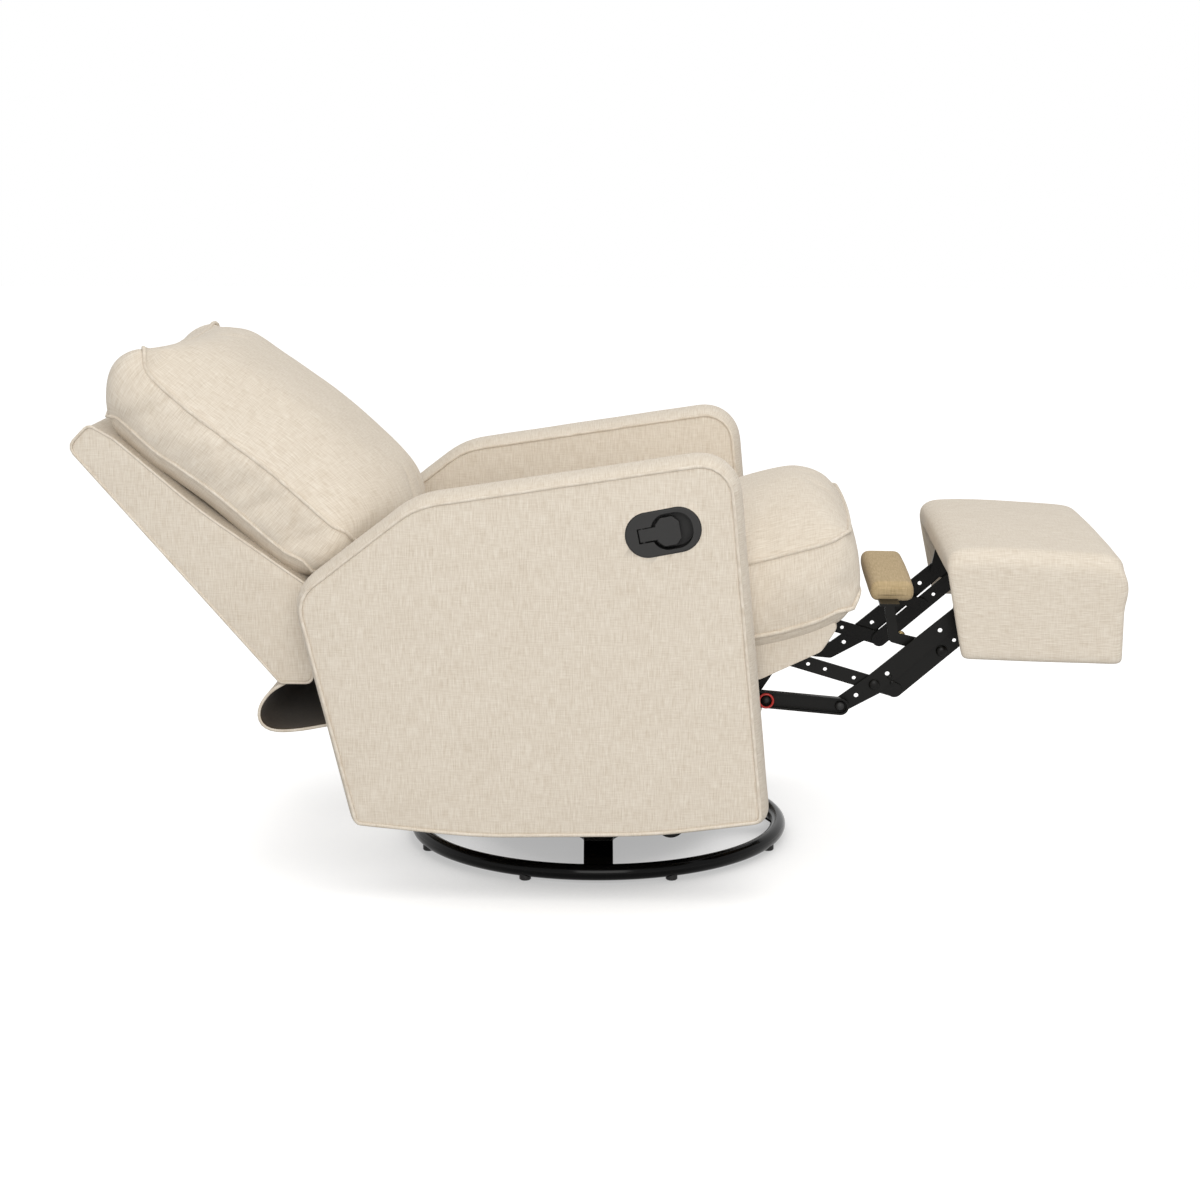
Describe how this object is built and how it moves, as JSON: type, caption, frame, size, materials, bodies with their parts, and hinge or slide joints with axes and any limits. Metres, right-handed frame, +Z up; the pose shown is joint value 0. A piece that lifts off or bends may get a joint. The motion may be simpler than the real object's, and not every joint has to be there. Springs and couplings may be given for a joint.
{
  "type": "swivel glider recliner",
  "caption": "Upholstered manual recliner on a round swivel base with gliding links, padded arms, folding footrest linkage and a recessed release handle.",
  "frame": {"origin": "on the floor, under the swivel's king bolt, at the middle of the base ring", "axes": "+Z up, -Y the way the sitter faces, -X the side with the release handle"},
  "size_m": [0.773, 1.5661, 0.8192],
  "materials": {
    "oatmeal_fabric": "linen-look weave, self piping",
    "tan_fabric": "tan woven cover",
    "black_cambric": "woven webbing",
    "black_steel": "black powder coat",
    "bare_steel": "bare steel",
    "frame_wood": "unfinished plywood and batten",
    "black_plastic": "moulded black plastic"
  },
  "bodies": {
    "base": {"base_ring": "black_steel", "floor_glides": "black_plastic", "base_spider": "black_steel", "swivel_lower_race": "black_steel", "swivel_bearing_ring": "black_plastic", "king_bolt": "bare_steel"},
    "carriage": {"swivel_turn_plate": "black_steel", "carriage_beams": "black_steel", "carriage_side_plates": "black_steel"},
    "front_glide": {"front_glide_links": "black_steel"},
    "rear_glide": {"rear_glide_links": "black_steel"},
    "chassis": {"glide_rails": "black_steel", "arm_sills": "frame_wood", "mechanism_base_plates": "black_steel", "arm_mounting_blocks": "frame_wood", "mechanism_cross_tubes": "bare_steel", "rear_cross_rail": "frame_wood", "left_arm": "oatmeal_fabric", "right_arm": "oatmeal_fabric", "handle_cup": "black_plastic", "rear_skirt": "oatmeal_fabric"},
    "handle": {"handle_lever": "black_plastic"},
    "back": {"back_stiles": "frame_wood", "back_rails": "frame_wood", "back_brackets": "black_steel", "back_shell": "oatmeal_fabric", "back_pillow": "oatmeal_fabric", "lumbar_pad": "oatmeal_fabric"},
    "front_seat_link": {"front_seat_links": "black_steel"},
    "rear_seat_link": {"rear_seat_links": "black_steel"},
    "seat": {"seat_rails": "black_steel", "seat_box_sides": "oatmeal_fabric", "seat_box_front": "oatmeal_fabric", "seat_box_rear": "oatmeal_fabric", "seat_straps": "black_cambric", "seat_cushion": "oatmeal_fabric", "seat_tail": "oatmeal_fabric"},
    "footrest_swing": {"footrest_swing_links": "black_steel"},
    "footrest_drive": {"footrest_drive_links": "black_steel"},
    "footrest_cross": {"footrest_cross_links": "black_steel"},
    "footrest_outer": {"footrest_outer_links": "black_steel"},
    "footrest": {"footrest_brackets": "black_steel", "footrest_board": "frame_wood", "footrest_hood": "oatmeal_fabric"},
    "middle_flap": {"middle_flap_brackets": "black_steel", "middle_flap_pad": "tan_fabric"}
  },
  "joints": [
    {"name": "swivel", "type": "hinge", "parent": "base", "child": "carriage", "pos_m": [0, 0, 0.062], "axis": [0, 0, 1], "continuous": true},
    {"name": "glide", "type": "hinge", "parent": "carriage", "child": "front_glide", "pos_m": [0, -0.124, 0.205], "axis": [1, 0, 0], "range_deg": [-25, 25]},
    {"name": "glide_hang", "type": "hinge", "parent": "front_glide", "child": "chassis", "pos_m": [0, -0.124, 0.084], "axis": [1, 0, 0], "range_deg": [-25.05, 25.05]},
    {"name": "glide_rear", "type": "hinge", "parent": "carriage", "child": "rear_glide", "pos_m": [0, 0.124, 0.205], "axis": [1, 0, 0], "range_deg": [-25.05, 25.05]},
    {"name": "recline", "type": "hinge", "parent": "chassis", "child": "back", "pos_m": [0, 0.25, 0.3], "axis": [1, 0, 0], "range_deg": [0, 30], "deforming": ["rear_skirt"]},
    {"name": "seat_front_swing", "type": "hinge", "parent": "chassis", "child": "front_seat_link", "pos_m": [0, -0.0523, 0.1987], "axis": [1, 0, 0], "range_deg": [-44.05, 0]},
    {"name": "seat_carry", "type": "hinge", "parent": "front_seat_link", "child": "seat", "pos_m": [0, -0.1, 0.275], "axis": [1, 0, 0], "range_deg": [0, 47.05]},
    {"name": "seat_rear_swing", "type": "hinge", "parent": "chassis", "child": "rear_seat_link", "pos_m": [0, 0.0992, 0.2016], "axis": [1, 0, 0], "range_deg": [-49.77, 0]},
    {"name": "footrest_fold", "type": "hinge", "parent": "seat", "child": "footrest_swing", "pos_m": [0, -0.2834, 0.3395], "axis": [1, 0, 0], "range_deg": [0, 82]},
    {"name": "drive_swing", "type": "hinge", "parent": "seat", "child": "footrest_drive", "pos_m": [0, -0.2392, 0.2749], "axis": [1, 0, 0], "range_deg": [0, 86.87]},
    {"name": "cross_swing", "type": "hinge", "parent": "footrest_swing", "child": "footrest_cross", "pos_m": [0, -0.4325, 0.2956], "axis": [1, 0, 0], "range_deg": [-112.59, 0]},
    {"name": "outer_swing", "type": "hinge", "parent": "footrest_swing", "child": "footrest_outer", "pos_m": [0, -0.46416, 0.28628], "axis": [1, 0, 0], "range_deg": [-112.59, 0]},
    {"name": "footrest_turn", "type": "hinge", "parent": "footrest_cross", "child": "footrest", "pos_m": [0, -0.5579, 0.4046], "axis": [1, 0, 0], "range_deg": [0, 112.59]},
    {"name": "flap_turn", "type": "hinge", "parent": "footrest_outer", "child": "middle_flap", "pos_m": [0, -0.53446, 0.34739], "axis": [1, 0, 0], "range_deg": [-14.01, 0]},
    {"name": "handle_pull", "type": "hinge", "parent": "chassis", "child": "handle", "pos_m": [-0.384, -0.08455, 0.55178], "axis": [0, -0.1908, -0.9816], "range_deg": [0, 35], "stiffness_Nm_per_rad": 0.8}
  ],
  "couplings": [
    {"joint": "glide_hang", "follows": "glide", "ratio": -1},
    {"joint": "glide_rear", "follows": "glide", "ratio": 1},
    {"joint": "seat_front_swing", "follows": "recline", "ratio": -1.4667},
    {"joint": "seat_carry", "follows": "recline", "ratio": 1.5667},
    {"joint": "seat_rear_swing", "follows": "recline", "ratio": -1.6573},
    {"joint": "drive_swing", "follows": "footrest_fold", "ratio": 1.0588},
    {"joint": "cross_swing", "follows": "footrest_fold", "ratio": -1.3724},
    {"joint": "outer_swing", "follows": "footrest_fold", "ratio": -1.3724},
    {"joint": "footrest_turn", "follows": "footrest_fold", "ratio": 1.3724},
    {"joint": "flap_turn", "follows": "footrest_fold", "ratio": -0.17021}
  ]
}
